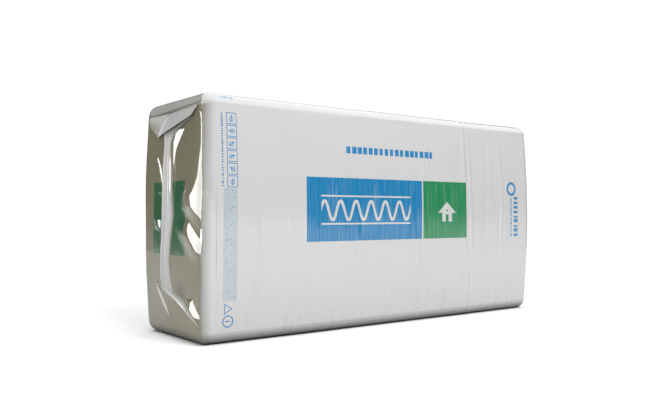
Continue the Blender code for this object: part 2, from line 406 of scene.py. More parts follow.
def framed_figures(tree, x, z):
    """A mask for the column's frames. Each holds a circle with a stroke, turned by chance."""
    frames = rectangle(tree, x, z, *FRAMES_ACROSS, FRAMES_FOOT,
                       FRAMES_FOOT + FRAME_COUNT * FRAME_PITCH)
    rows = add(tree, MATH, {0: z, 1: -FRAMES_FOOT}, operation="ADD")[0]
    rows = add(tree, MATH, {0: rows, 1: FRAME_PITCH}, operation="DIVIDE")[0]
    number = add(tree, MATH, {0: rows}, operation="FLOOR")[0]
    inside = add(tree, MATH, {0: rows}, operation="FRACT")[0]
    v = add(tree, MATH, {0: inside, 1: -0.5}, operation="ADD")[0]
    v = add(tree, MATH, {0: v, 1: FRAME_PITCH}, operation="MULTIPLY")[0]
    u = add(tree, MATH, {0: x, 1: -sum(FRAMES_ACROSS) / 2}, operation="ADD")[0]
    far_u = add(tree, MATH, {0: u}, operation="ABSOLUTE")[0]
    far_v = add(tree, MATH, {0: v}, operation="ABSOLUTE")[0]
    reach = add(tree, MATH, {0: far_u, 1: far_v}, operation="MAXIMUM")[0]
    outline = add(tree, MATH, {0: reach, 1: FRAME_HALF, 2: FRAME_HALF_STROKE},
                  operation="COMPARE")[0]
    chance = add(tree, "ShaderNodeTexWhiteNoise", {"W": number}, noise_dimensions="1D")["Value"]
    turned = add(tree, "ShaderNodeCombineXYZ", {0: u, 1: v})[0]
    angle = add(tree, MATH, {0: chance, 1: math.pi}, operation="MULTIPLY")[0]
    turned = add(tree, "ShaderNodeVectorRotate", {"Vector": turned, "Angle": angle},
                 rotation_type="Z_AXIS")[0]
    arms = add(tree, "ShaderNodeSeparateXYZ", {0: turned})
    stroke = rectangle(tree, arms[0], arms[1], -FIGURE_ARM, FIGURE_ARM,
                       -FIGURE_HALF_STROKE, FIGURE_HALF_STROKE)
    circle = ring(tree, arms[0], arms[1], *FIGURE_CIRCLE)
    figure = add(tree, MATH, {0: stroke, 1: circle}, operation="MAXIMUM")[0]
    figure = add(tree, MATH, {0: figure, 1: outline}, operation="MAXIMUM")[0]
    return add(tree, MATH, {0: figure, 1: frames}, operation="MULTIPLY")[0]


# %% The marks beside the column and at the right end
MARK_LINE = (-0.5545, -0.5500, 0.376, 0.558)
MARK_PITCH = 0.0062
TRIANGLE_SIGN = ((-0.538, 0.085), 0.0136, 0.0022)
RING_SIGN = ((-0.535, 0.055), 0.0133, 0.0032)
RING_BAR = (-0.541, -0.529, 0.0535, 0.0565)
OVER_EDGE = (-0.556, -0.517, 0.5900, 0.5965)
OVER_EDGE_PITCH = 0.0058
RIGHT_RING = ((0.506, 0.394), 0.0185, 0.0080)
BOLD_LINE = (0.518, 0.537, 0.240, 0.368)
BOLD_PITCH = 0.0150
LIGHT_LINE = (0.500, 0.508, 0.240, 0.368)
LIGHT_PITCH = 0.0065


def column_print(tree, x, z):
    """The line inks: frames, a line of marks, two plain signs, and the upright print at the right."""
    masks = [
        framed_figures(tree, x, z),
        blocks(tree, z, rectangle(tree, x, z, *MARK_LINE), MARK_PITCH, 0.3),
        triangle(tree, x, z, *TRIANGLE_SIGN),
        ring(tree, x, z, *RING_SIGN),
        rectangle(tree, x, z, *RING_BAR),
        blocks(tree, x, rectangle(tree, x, z, *OVER_EDGE), OVER_EDGE_PITCH, 0.2),
        ring(tree, x, z, *RIGHT_RING),
        blocks(tree, z, rectangle(tree, x, z, *BOLD_LINE), BOLD_PITCH, 0.4),
        blocks(tree, z, rectangle(tree, x, z, *LIGHT_LINE), LIGHT_PITCH, 0.3),
    ]
    return [(INK_LINE, mask) for mask in masks]


# %% [markdown]
# The ink stops short of the pack's ends. It thins out round the upright edges and leaves the film
# clear, and the khaki colour of the wool shows through. Where the ink begins, the clear film first
# turns a neutral grey, which is painted shade round the upright corner. The edge of the ink runs
# round the corner, so it is worked out from how far a point is along the pack, less how far it is
# to the side. Over the top edge of an end a part of the ink is left. The film is painted darker
# towards the floor, as painted shade where its lower edge turns under the pack, and it is a little
# hazy where it is stretched most. A spot of painted shade lies beside the band's foot.

# %% Colour of the printed film
PRINT_SIDE = -0.130
STREAK_SCALE = (220.0, 12.0, 7.0)
THIN_INK = 0.30


def printed_colour(tree, x, y, z, streaks):
    """White with its inks on the front, thinner along the streaks that the stretching left."""
    in_front = add(tree, MATH, {0: y, 1: PRINT_SIDE}, operation="LESS_THAN")[0]
    colour = linear(INK_WHITE)
    for ink, mask in side_print(tree, x, z) + column_print(tree, x, z):
        on_side = add(tree, MATH, {0: mask, 1: in_front}, operation="MULTIPLY")[0]
        colour = add(tree, MIX, {"Factor": on_side, "A": colour, "B": linear(ink)},
                     data_type="RGBA")["Result"]
    thin_ink = add(tree, "ShaderNodeMapRange", {"Value": streaks, "From Min": 0.52, "From Max": 0.80,
                                                "To Min": 0.0, "To Max": THIN_INK})[0]
    return add(tree, MIX, {"Factor": thin_ink, "A": colour, "B": linear(INK_WHITE)},
               data_type="RGBA")["Result"]


# %% Colour of the clear film over the wool
END_SQUARE = (-0.090, 0.094, 0.210, 0.393)
# A darker spot of painted shade beside the band's foot.
SHADE_SPOT = (0.0, -0.062, 0.116)
SHADE_SPOT_REACH = (0.008, 0.044)
SHADE_SPOT_DEPTH = 0.80


def clear_colour(tree, place, y, z, flat_end, left_end):
    """Khaki wool behind film, with a spot of painted shade beside the band, and the left end's square."""
    cloud = add(tree, NOISE, {"Vector": place, "Scale": 9.0, "Detail": 4.0, "Roughness": 0.6})[0]
    wool_place = add(tree, "ShaderNodeMapping", {"Vector": place, "Scale": (40.0, 40.0, 150.0)})[0]
    wool = add(tree, NOISE, {"Vector": wool_place, "Scale": 1.0, "Detail": 6.0, "Roughness": 0.75})[0]
    khaki = add(tree, MIX, {"Factor": cloud, "A": linear("#73715B"), "B": linear("#8A8672")},
                data_type="RGBA")["Result"]
    khaki = add(tree, MIX, {"Factor": wool, "A": khaki, "B": linear("#76725A")},
                data_type="RGBA")["Result"]
    reach = add(tree, "ShaderNodeVectorMath", {0: flat_end, 1: SHADE_SPOT}, operation="DISTANCE")["Value"]
    painted_spot_shade = add(tree, "ShaderNodeMapRange",
                 {"Value": reach, "From Min": SHADE_SPOT_REACH[0], "From Max": SHADE_SPOT_REACH[1],
                  "To Min": SHADE_SPOT_DEPTH, "To Max": 0.0}, interpolation_type="SMOOTHSTEP")[0]
    khaki = add(tree, MIX, {"Factor": painted_spot_shade, "A": khaki, "B": linear("#5A584B")},
                data_type="RGBA")["Result"]
    square = rectangle(tree, y, z, *END_SQUARE)
    square = add(tree, MATH, {0: square, 1: left_end}, operation="MULTIPLY")[0]
    return add(tree, MIX, {"Factor": square, "A": khaki, "B": linear("#2A5E3C")},
               data_type="RGBA")["Result"]


# %% How far the ink reaches
INK_EDGE = 0.437
INK_FADE = 0.034
INK_REACH_RIGHT = 0.022
INK_REACH_LOW = 0.009
LOW_PART = (0.10, 0.36)
INK_OVER_TOP = 0.75
TOP_EDGE = (0.567, 0.576)
TOP_FADE = (0.560, 0.590)


def ink_reach(tree, x, y, z, left_end):
    """The share of ink on the sides alone, and with what is left of it over the top edge."""
    away = add(tree, MATH, {0: x}, operation="ABSOLUTE")[0]
    aside = add(tree, MATH, {0: y}, operation="ABSOLUTE")[0]
    round_edge = add(tree, MATH, {0: away, 1: aside}, operation="SUBTRACT")[0]
    right_reach = add(tree, MATH, {0: left_end, 1: INK_REACH_RIGHT, 2: -INK_REACH_RIGHT},
                      operation="MULTIPLY_ADD")[0]
    round_edge = add(tree, MATH, {0: round_edge, 1: right_reach}, operation="ADD")[0]
    low_reach = add(tree, "ShaderNodeMapRange",
                    {"Value": z, "From Min": LOW_PART[0], "From Max": LOW_PART[1],
                     "To Min": -INK_REACH_LOW, "To Max": 0.0})[0]
    round_edge = add(tree, MATH, {0: round_edge, 1: low_reach}, operation="ADD")[0]
    side_share = add(tree, "ShaderNodeMapRange",
                     {"Value": round_edge, "From Min": INK_EDGE - INK_FADE, "From Max": INK_EDGE,
                      "To Min": 1.0, "To Max": 0.0})[0]
    top_ink = add(tree, "ShaderNodeMapRange",
                  {"Value": away, "From Min": TOP_FADE[0], "From Max": TOP_FADE[1],
                   "To Min": 1.0, "To Max": INK_OVER_TOP})[0]
    top_share = add(tree, "ShaderNodeMapRange",
                    {"Value": z, "From Min": TOP_EDGE[0], "From Max": TOP_EDGE[1],
                     "To Min": 0.0, "To Max": top_ink})[0]
    ink_share = add(tree, MATH, {0: side_share, 1: top_share}, operation="MAXIMUM")[0]
    return side_share, ink_share


# %% Material: printed polythene film
FOOT_SHADE_HEIGHT = 0.031
FOOT_SHADE_ROUGHNESS = 0.6
CLEAR_ROUGHNESS = 0.05
INK_ROUGHNESS = 0.08
HAZE_CENTRE = (0.0, -0.150, 0.430)
HAZE_REACH = (0.020, 0.080)
HAZE_ROUGHNESS = 0.12
OUTER_LAYER = 0.6


def film_roughness(tree, flat_end, ink_share, foot_shade):
    """Glossy when clear, less so under ink, hazy where stretched most and dull in the painted shade at
    the foot.
    """
    rough = add(tree, MATH, {0: ink_share, 1: INK_ROUGHNESS, 2: CLEAR_ROUGHNESS},
                operation="MULTIPLY_ADD")[0]
    reach = add(tree, "ShaderNodeVectorMath", {0: flat_end, 1: HAZE_CENTRE},
                operation="DISTANCE")["Value"]
    haze = add(tree, "ShaderNodeMapRange",
               {"Value": reach, "From Min": HAZE_REACH[0], "From Max": HAZE_REACH[1],
                "To Min": HAZE_ROUGHNESS, "To Max": 0.0})[0]
    clear = add(tree, MATH, {0: 1.0, 1: ink_share}, operation="SUBTRACT")[0]
    rough = add(tree, MATH, {0: haze, 1: clear, 2: rough}, operation="MULTIPLY_ADD")[0]
    return add(tree, MATH, {0: foot_shade, 1: FOOT_SHADE_ROUGHNESS, 2: rough}, operation="MULTIPLY_ADD")[0]


def polythene_film():
    """White printed film on the long sides that thins out to clear film over the wool at the ends."""
    material, tree = new_material("printed_polythene_film")
    place = add(tree, "ShaderNodeTexCoord")["Object"]
    x, y, z = list(add(tree, "ShaderNodeSeparateXYZ", {0: place}))[:3]
    flat_end = add(tree, "ShaderNodeCombineXYZ", {1: y, 2: z})[0]
    left_end = add(tree, MATH, {0: x, 1: 0.0}, operation="LESS_THAN")[0]
    streak_place = add(tree, "ShaderNodeMapping", {"Vector": place, "Scale": STREAK_SCALE})[0]
    streaks = add(tree, NOISE, {"Vector": streak_place, "Scale": 1.0, "Detail": 4.0})[0]
    side_share, ink_share = ink_reach(tree, x, y, z, left_end)

    # Where the ink begins, the clear film first turns a neutral grey: painted shade round the upright
    # corner.
    corner_shade_share = add(tree, MATH, {0: side_share, 1: 4.0}, operation="MULTIPLY", use_clamp=True)[0]
    under = add(tree, MIX, {"Factor": corner_shade_share, "A": clear_colour(tree, place, y, z, flat_end, left_end),
                            "B": linear("#7C7B78")}, data_type="RGBA")["Result"]
    colour = add(tree, MIX, {"Factor": ink_share, "A": under,
                             "B": printed_colour(tree, x, y, z, streaks)}, data_type="RGBA")["Result"]
    # Darker towards the floor: painted shade on the lower edge, where the film turns under the pack.
    foot_shade = add(tree, "ShaderNodeMapRange", {"Value": z, "From Min": 0.0, "From Max": FOOT_SHADE_HEIGHT,
                                              "To Min": 1.0, "To Max": 0.0})[0]
    colour = add(tree, MIX, {"Factor": foot_shade, "A": colour, "B": linear("#101010")},
                 data_type="RGBA")["Result"]

    rough = film_roughness(tree, flat_end, ink_share, foot_shade)
    outside_foot_shade = add(tree, MATH, {0: 1.0, 1: foot_shade}, operation="SUBTRACT")[0]
    outer_layer = add(tree, MATH, {0: ink_share, 1: OUTER_LAYER}, operation="MULTIPLY")[0]
    outer_layer = add(tree, MATH, {0: outer_layer, 1: outside_foot_shade}, operation="MULTIPLY")[0]
    bump = add(tree, "ShaderNodeBump", {"Height": streaks, "Strength": 0.5, "Distance": 0.0006})[0]
    shader = add(tree, "ShaderNodeBsdfPrincipled",
                 {"Base Color": colour, "Roughness": rough, "IOR": 1.51, "Coat Weight": outer_layer,
                  "Coat Roughness": 0.08, "Normal": bump})
    add(tree, "ShaderNodeOutputMaterial", {"Surface": shader["BSDF"]})
    return material


# %% [markdown]
# ## Gathered film
#
# Where the clear film is gathered or folded there are many layers with air between them. Each
# layer scatters a little, so the fold looks milky and pale lilac-grey, and still glossy. Each
# folded piece carries a number at its points, `layers`: 1 is a thick gather, 0 a single layer
# over the wool, below 0 painted shade, dark, for the inside of a fold, and above 1 a painted
# highlight, near white, along the lit edge of a crease. Some sheets also lower the number as
# painted shade and raise it as painted light.

# %% Material: gathered film
def gathered_film():
    """Milky where the film lies in layers, khaki where it is single, painted dark shade inside a fold, a
    painted near-white highlight on a crease.
    """
    material, tree = new_material("gathered_polythene_film")
    place = add(tree, "ShaderNodeTexCoord")["Object"]
    pleats = add(tree, "ShaderNodeMapping", {"Vector": place, "Scale": (40.0, 260.0, 10.0)})[0]
    folds = add(tree, NOISE, {"Vector": pleats, "Scale": 1.0, "Detail": 4.0})[0]
    layers = add(tree, "ShaderNodeAttribute", attribute_name="layers")["Fac"]
    milk = add(tree, MIX, {"Factor": folds, "A": linear("#A2A1A3"), "B": linear("#BCBBBE")},
               data_type="RGBA")["Result"]
    many = add(tree, MATH, {0: layers, 1: 0.0}, operation="MAXIMUM")[0]
    colour = add(tree, MIX, {"Factor": many, "A": linear("#7F7D6B"), "B": milk},
                 data_type="RGBA")["Result"]
    # Above 1: a painted highlight, near white.
    painted_highlight = add(tree, MATH, {0: layers, 1: -1.0}, operation="ADD", use_clamp=True)[0]
    colour = add(tree, MIX, {"Factor": painted_highlight, "A": colour, "B": linear("#E6E3E0")},
                 data_type="RGBA")["Result"]
    # Below 0: painted shade, near black.
    painted_fold_shade = add(tree, MATH, {0: layers, 1: -1.0}, operation="MULTIPLY", use_clamp=True)[0]
    colour = add(tree, MIX, {"Factor": painted_fold_shade, "A": colour, "B": linear("#1C1B18")},
                 data_type="RGBA")["Result"]
    rough = add(tree, "ShaderNodeMapRange", {"Value": layers, "From Min": 0.3, "From Max": 0.8,
                                             "To Min": 0.85, "To Max": 0.42})[0]
    bump = add(tree, "ShaderNodeBump", {"Height": folds, "Strength": 0.3, "Distance": 0.0005})[0]
    shader = add(tree, "ShaderNodeBsdfPrincipled",
                 {"Base Color": colour, "Roughness": rough, "IOR": 1.51, "Normal": bump})
    add(tree, "ShaderNodeOutputMaterial", {"Surface": shader["BSDF"]})
    return material


FILM = polythene_film()
GATHERED = gathered_film()
WOOL = glass_wool()
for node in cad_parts:
    if node.startswith("batt_"):
        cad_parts[node].data.materials.clear()
        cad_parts[node].data.materials.append(WOOL)
print("materials", [m.name for m in (FILM, GATHERED, WOOL)])

# %% [markdown]
# ## Wrinkles of the long sides
#
# Film pulled round a block creases along the pull, so the wrinkles run upright. Each is a line
# with a top, a foot, a height and a width, and the surface is lifted along it by a soft bell.
# Most are drawn at random from a fixed seed. The longer ones are placed where they show on the
# real pack: a fan below the top edge, and a few long creases that end at the bottom edge.

# %% Lines that the creases follow
LONG_CREASES = [
    (-0.452, 0.300, -0.454, 0.015, 0.0009, 0.0035), (-0.439, 0.235, -0.442, 0.110, 0.0005, 0.0030),
    (-0.297, 0.195, -0.315, 0.012, 0.0010, 0.0040), (-0.306, 0.230, -0.310, 0.100, 0.0005, 0.0030),
    (-0.211, 0.070, -0.215, 0.010, 0.0010, 0.0035), (-0.270, 0.300, -0.269, 0.200, 0.0006, 0.0030),
    (-0.133, 0.270, -0.138, 0.200, 0.0006, 0.0035), (-0.519, 0.085, -0.522, 0.010, 0.0009, 0.0035),
    (-0.155, 0.220, -0.106, 0.012, 0.0008, 0.0040), (-0.040, 0.215, -0.102, 0.012, 0.0008, 0.0040),
    (0.092, 0.215, 0.090, 0.005, 0.0012, 0.0040), (0.116, 0.215, 0.100, 0.005, 0.0010, 0.0040),
    (0.284, 0.590, 0.281, 0.012, 0.0014, 0.0060), (0.307, 0.575, 0.314, 0.010, 0.0010, 0.0050),
    (0.448, 0.550, 0.456, 0.035, 0.0006, 0.0060), (0.210, 0.120, 0.196, 0.008, 0.0010, 0.0040),
    (-0.424, 0.580, -0.412, 0.520, 0.0006, 0.0035), (-0.407, 0.580, -0.386, 0.490, 0.0007, 0.0035),
    (-0.391, 0.580, -0.372, 0.480, 0.0007, 0.0035), (-0.370, 0.570, -0.345, 0.460, 0.0006, 0.0040),
    (-0.348, 0.540, -0.326, 0.470, 0.0006, 0.0040), (-0.376, 0.475, -0.354, 0.390, 0.0006, 0.0040),
    (-0.320, 0.560, -0.300, 0.430, 0.0005, 0.0040), (-0.272, 0.480, -0.267, 0.400, 0.0006, 0.0035),
]


def random_creases(seed, count):
    """Short upright creases anywhere along the pack."""
    chance = random.Random(seed)
    creases = []
    for _ in range(count):
        x = chance.uniform(-0.57, 0.57)
        head = chance.uniform(0.12, 0.60)
        foot = max(0.01, head - chance.uniform(0.06, 0.30))
        lean = chance.gauss(0.0, 0.02) * (head - foot)
        height = chance.choice((-1, 1)) * chance.uniform(0.00015, 0.0004)
        creases.append((x - lean, head, x + lean, foot, height, chance.uniform(0.003, 0.008)))
    for _ in range(count // 3):
        x = chance.uniform(-0.57, 0.57)
        head = chance.uniform(0.05, 0.16)
        height = chance.uniform(0.0004, 0.0012)
        creases.append((x, head, x + chance.gauss(0.0, 0.003), 0.004, height,
                        chance.uniform(0.0025, 0.005)))
    return creases


# %% Height of the creases
CREASE_GAIN = 2.1


def crease_height(x, z, creases):
    """How far the creases lift the film at each x and z."""
    total = np.zeros_like(x)
    for head_x, head, foot_x, foot, height, width in creases:
        share = (z - foot) / (head - foot)
        near = (share > -0.3) & (share < 1.3) & (np.abs(x - (head_x + foot_x) / 2) < 0.08)
        if not near.any():
            continue
        s = share[near]
        centre = foot_x + (head_x - foot_x) * s
        ends = smooth(s, -0.15, 0.2) * (1.0 - smooth(s, 0.75, 1.2))
        total[near] += CREASE_GAIN * height * ends * np.exp(-((x[near] - centre) / width) ** 2)
    return total


# %% [markdown]
# ## The sleeve
#
# The white sleeve is made of a front and a back web, welded along the middle of the top and of
# the bottom. Each is a box with three sides missing. Its cells are narrow along the pack, where
# the wrinkles need them, and longer up the side. The film lies on the floor, so nothing is
# lifted on the underside.

# %% Build the two webs of the sleeve
SLEEVE_END = 0.5640
WEB_CELLS = (440, 12, 66)
ROUND_CELLS = 5
EDGE_LINE = 0.5775
FILM_SHEET = 0.00015


def slow_swell(x, z, seed):
    """A slow unevenness of a soft block, up to about a millimetre."""
    phase = random.Random(seed).uniform(0.0, 6.0)
    wave = np.sin(11.0 * x + phase) * np.cos(7.0 * z + 2.0 * phase)
    return 0.0006 * (wave + 0.6 * np.sin(23.0 * x - 9.0 * z + phase))


def edge_fold(x, z):
    """The crisp line where the film turns over the block's top edge."""
    line = EDGE_LINE + 0.0009 * np.sin(9.0 * x + 1.0) + 0.0004 * np.sin(37.0 * x)
    spread = np.where(z > line, 0.012, 0.0030)
    return 0.0013 * np.exp(-((z - line) / spread) ** 2)


def build_web(name, side, creases, seed):
    """One web: side is -1 for the printed front and 1 for the back."""
    half_depth = PACK_DEPTH / 2
    stops = [
        [(0, -SLEEVE_END), (WEB_CELLS[0], SLEEVE_END)],
        [(0, -half_depth), (ROUND_CELLS, EDGE_RADIUS - half_depth), (WEB_CELLS[1], 0.0)],
        [(0, 0.0), (ROUND_CELLS, EDGE_RADIUS), (WEB_CELLS[2] - 14, EDGE_LINE - 0.011),
         (WEB_CELLS[2] - 4, EDGE_LINE + 0.009), (WEB_CELLS[2], PACK_HEIGHT)],
    ]
    bm = grid_box(WEB_CELLS, stops, [(0, -1), (0, 1), (1, 1)])
    plain = np.array([vert.co for vert in bm.verts])
    lift = FILM_LIFT + crease_height(plain[:, 0], plain[:, 2], creases)
    lift += slow_swell(plain[:, 0], plain[:, 2], seed)
    lift += edge_fold(plain[:, 0], plain[:, 2])
    _, outward = on_pack(plain, np.zeros(len(plain)))
    lift = np.maximum(lift, -0.0002) * (1.0 - smooth(-outward[:, 2], 0.6, 0.98))
    placed, _ = on_pack(plain, lift)
    for vert, spot in zip(bm.verts, placed):
        vert.co = spot
    if side > 0:
        bmesh.ops.scale(bm, vec=Vector((1.0, -1.0, 1.0)), verts=bm.verts)
        bmesh.ops.reverse_faces(bm, faces=bm.faces)
    return finish_piece(name, bm, FILM, thickness=FILM_SHEET)


front_web = build_web("sleeve_front", -1, LONG_CREASES + random_creases(11, 110), 3)
build_web("sleeve_back", 1, random_creases(29, 130), 8)
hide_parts("film_wrap")

# %% [markdown]
# ## The clear ends
#
# At the ends the film is stretched over the wool and gathered to the band. It stands in flat
# facets that meet in creases, and each facet that turns towards the light box shines. `tent`
# makes one such facet: it rises evenly from a foot line to a crest line and falls away softly
# behind it. The crest is given at a few heights, and the facet's slope is what decides whether
# it catches the light.
#
# The outlines are drawn as they look from beside the near corner. From there, a point that stands
# out by a millimetre looks about two millimetres further back. So a facet is made narrower than
# it looks by FACET_LEAN, the whole end is shifted by SIGHT_SHIFT for its swell, and the free edge
# of a fold is brought forward by SIGHT_RUN times its height above the film.

# %% Facets of the stretched film
SIGHT_RUN = 2.0
SIGHT_SHIFT = 0.0065
FACET_SLOPE = 0.27
FACET_LEAN = 1.30


def tent(y, z, heights, crest, foot, rounding=0.004, behind=0.050):
    """A facet that rises from its foot to its rounded crest (towards +Y) and falls behind it.

    crest and foot are drawn as they look past the corner: what stands out looks further back.
    """
    foot_y = np.interp(z, heights, foot)
    width = np.maximum(np.interp(z, heights, crest) - foot_y, 0.0) / FACET_LEAN
    crest_y = foot_y + width
    inside = (z > heights[0]) & (z < heights[-1])
    bend = np.maximum(np.minimum(rounding, width), 1e-6)
    along = np.clip(y - foot_y, 0.0, width)
    over = np.maximum(along - (width - bend), 0.0)
    rise = FACET_SLOPE * (along - over * over / (2.0 * bend))
    return inside * rise * (1.0 - smooth(y, crest_y, crest_y + behind))


# %% Where the facets lie
CORNER_Y = -0.172
RIGHT_FLAT = (-0.150, -0.080)
FILM_STAND = 0.0014
BELLY = 0.0045
SLOW_WAVE = 0.0010
FINE_WAVE = 0.00015


def end_relief(y, z, side):
    """How far the clear film of an end stands out, in metres. The right end is flat at the front."""
    fade = smooth(y, *RIGHT_FLAT) if side > 0 else 1.0
    y = y + SIGHT_SHIFT
    beside_band = tent(y, z, (0.365, 0.397, 0.433, 0.452, 0.469, 0.495, 0.513, 0.522),
                       (-0.008, -0.005, -0.004, -0.004, -0.006, -0.013, -0.026, -0.045),
                       (-0.016, -0.016, -0.018, -0.022, -0.027, -0.046, -0.062, -0.070))
    corner_top = tent(y, z, (0.500, 0.530, 0.545, 0.556, 0.563, 0.567),
                      (-0.168, -0.163, -0.153, -0.139, -0.134, -0.138),
                      (-0.172, -0.170, -0.164, -0.154, -0.146, -0.140))
    upper_big = tent(y, z, (0.272, 0.299, 0.329, 0.354, 0.375, 0.404, 0.433, 0.480),
                     (-0.171, -0.143, -0.106, -0.102, -0.116, -0.130, -0.146, -0.168),
                     (CORNER_Y,) * 8, behind=0.070)
    lower_big = tent(y, z, (0.190, 0.207, 0.2215, 0.245, 0.258, 0.270, 0.285, 0.298),
                     (-0.169, -0.149, -0.132, -0.107, -0.094, -0.087, -0.087, -0.094),
                     (CORNER_Y, CORNER_Y, CORNER_Y, -0.149, -0.136, -0.124, -0.108, -0.095),
                     behind=0.070)
    big = np.maximum(upper_big, lower_big)
    low_flame = tent(y, z, (0.048, 0.054, 0.066, 0.081, 0.102, 0.110),
                     (-0.155, -0.143, -0.118, -0.096, -0.100, -0.117),
                     (-0.158, -0.155, -0.150, -0.136, -0.122, -0.119), behind=0.035)
    small_left = tent(y, z, (0.272, 0.279, 0.299, 0.305), (0.060, 0.067, 0.075, 0.070),
                      (0.050, 0.045, 0.048, 0.060), behind=0.030)
    thin_left = tent(y, z, (0.365, 0.399, 0.435, 0.463), (0.052, 0.057, 0.070, 0.086),
                     (0.041, 0.044, 0.055, 0.073), 0.002, 0.030)
    relief = beside_band + corner_top + big + low_flame + small_left + thin_left
    belly = np.exp(-((z - 0.20) / 0.10) ** 2 - ((y - 0.01) / 0.09) ** 2)
    slow = np.sin(31.0 * y + 9.0 * z) * np.sin(17.0 * z - 4.0 * y + 1.0)
    fine = np.sin(83.0 * y - 40.0 * z) * np.sin(57.0 * z + 21.0 * y)
    return fade * (relief + BELLY * belly + SLOW_WAVE * slow + FINE_WAVE * fine + FILM_STAND)


# %% Build the clear ends
END_CELLS = (24, 130, 240)
EDGE_CELLS = (14, 20)
END_OVERLAP = 0.003
RELIEF_SOFTENING = 2
CORNER_BULGE = 0.0050
BULGE_HEIGHT = 0.380
BULGE_SPREAD = 0.055
BULGE_ALONG = (0.572, 0.598)
BULGE_ASIDE = (0.135, 0.165)


def build_end(name, side):
    """The clear film of one end, with the upright edges beside it: side is -1 or 1."""
    inner = SLEEVE_END - END_OVERLAP
    stops = [
        [(0, -PACK_LENGTH / 2), (EDGE_CELLS[0], -PACK_LENGTH / 2 + 0.016), (END_CELLS[0], -inner)],
        [(0, -PACK_DEPTH / 2), (EDGE_CELLS[1], EDGE_RADIUS - PACK_DEPTH / 2),
         (END_CELLS[1], PACK_DEPTH / 2)],
        [(0, 0.0), (END_CELLS[2], PACK_HEIGHT)],
    ]
    bm = grid_box(END_CELLS, stops, [(0, 1)])
    plain = np.array([vert.co for vert in bm.verts])
    plain[:, 0] *= -side
    _, outward = on_pack(plain, np.zeros(len(plain)))
    facing = smooth(np.abs(outward[:, 0]), 0.55, 0.9)
    relief = end_relief(plain[:, 1], plain[:, 2], side) * facing * smooth(plain[:, 2], 0.02, 0.05)
    under_sleeve = 1.0 - smooth(np.abs(plain[:, 0]), SLEEVE_END, SLEEVE_END + 0.002)
    beside = slow_swell(plain[:, 0], plain[:, 2], 3 if side < 0 else 8)
    beside += edge_fold(plain[:, 0], plain[:, 2])
    lift = FILM_LIFT + beside * (1.0 - facing)
    lift = (lift + relief - 0.00025 * under_sleeve) * (1.0 - smooth(-outward[:, 2], 0.6, 0.98))
    placed, _ = on_pack(plain, np.maximum(lift, -0.0002))
    if side < 0:
        near_corner = smooth(-placed[:, 0], *BULGE_ALONG) * smooth(-placed[:, 1], *BULGE_ASIDE)
        bulge = np.exp(-((placed[:, 2] - BULGE_HEIGHT) / BULGE_SPREAD) ** 2)
        placed[:, 1] -= CORNER_BULGE * bulge * near_corner
    inner_verts = []
    for vert, spot, share in zip(bm.verts, placed, facing):
        vert.co = spot
        if share > 0.99:
            inner_verts.append(vert)
    for _ in range(RELIEF_SOFTENING):
        bmesh.ops.smooth_vert(bm, verts=inner_verts, factor=0.5, use_axis_x=True)
    if side > 0:
        bmesh.ops.reverse_faces(bm, faces=bm.faces)
    return finish_piece(name, bm, FILM, thickness=FILM_SHEET)


build_end("film_end_left", -1)
build_end("film_end_right", 1)

# %% [markdown]
# ## The gathered band
#
# The film is drawn together into an upright band of pleats. It is a ribbon with a row of small
# waves across it: a grid whose columns are spread between the band's left and right outline and
# pushed out by the waves, then given a thickness. It is drawn tight, so it bridges the facets
# beside it instead of following them, and only its two edges curl down to them. Its foot ends
# under the fold below it.
#
# Every fold of an end is made as such a sheet: a flat grid whose points are then laid on the end.
# Each point also gets its `layers` number, which the material reads as film layers, painted shade and
# painted highlight.

# %% Sheets that lie on an end
RIGHT_NARROW = 0.84


def plain_plane(z):
    """How far the end would reach outwards from the pack's middle without its facets."""
    share = 1.0 - (2.0 * z / PACK_HEIGHT - 1.0) ** 2
    return PACK_LENGTH / 2 + FILM_LIFT + END_BOW * share


def end_plane(y, z, side):
    """How far the clear film reaches outwards from the pack's middle at each y and z."""
    low_z = np.minimum(z, 0.56)
    return plain_plane(low_z) + end_relief(y, low_z, side)


def fit_side(y, side):
    """The folds of the right end are drawn together a little."""
    return y if side < 0 else RIGHT_NARROW * y


def grid_sheet(cells):
    """A flat grid from 0 to 1 both ways, as a bmesh, and its points."""
    bm = bmesh.new()
    bmesh.ops.create_grid(bm, x_segments=cells[0], y_segments=cells[1], size=0.5)
    points = np.array([vert.co for vert in bm.verts]) + 0.5
    return bm, points[:, 0], points[:, 1]


def place_sheet(name, bm, x, y, z, layers, side, thickness):
    """Sets a sheet's points on the end at side -1 or 1 and finishes the piece."""
    tag = bm.verts.layers.float.new("layers")
    for vert, spot, share in zip(bm.verts, zip(side * x, y, z), layers):
        vert.co = spot
        vert[tag] = share
    bmesh.ops.recalc_face_normals(bm, faces=bm.faces)
    outward = sum(face.normal.x * face.calc_area() for face in bm.faces)
    if outward * side < 0:
        bmesh.ops.reverse_faces(bm, faces=bm.faces)
    return finish_piece(name, bm, GATHERED, thickness=thickness)


# %% Build the gathered bands
BAND_HEIGHTS = (0.100, 0.134, 0.152, 0.190, 0.245, 0.310, 0.372, 0.436, 0.487, 0.505, 0.527, 0.546)
BAND_LEFT = (0.044, 0.044, 0.050, 0.046, 0.040, 0.037, 0.033, 0.030, 0.018, 0.022, 0.038, 0.030)
BAND_RIGHT = (-0.034, -0.022, -0.014, -0.009, -0.015, -0.028, -0.020, -0.019, -0.021, -0.034, -0.070,
              -0.128)
BAND_FOOT = (0.124, 0.094)
SEAT_HEIGHTS = (0.09, 0.13, 0.20, 0.30, 0.37, 0.44, 0.48, 0.505, 0.525, 0.55)
BAND_SEAT = (0.0030, 0.0050, 0.0072, 0.0062, 0.0075, 0.0080, 0.0095, 0.0100, 0.0060, 0.0020)
BAND_CELLS = (44, 110)
BAND_PROUD = 0.0022
BAND_SHEET = 0.0008


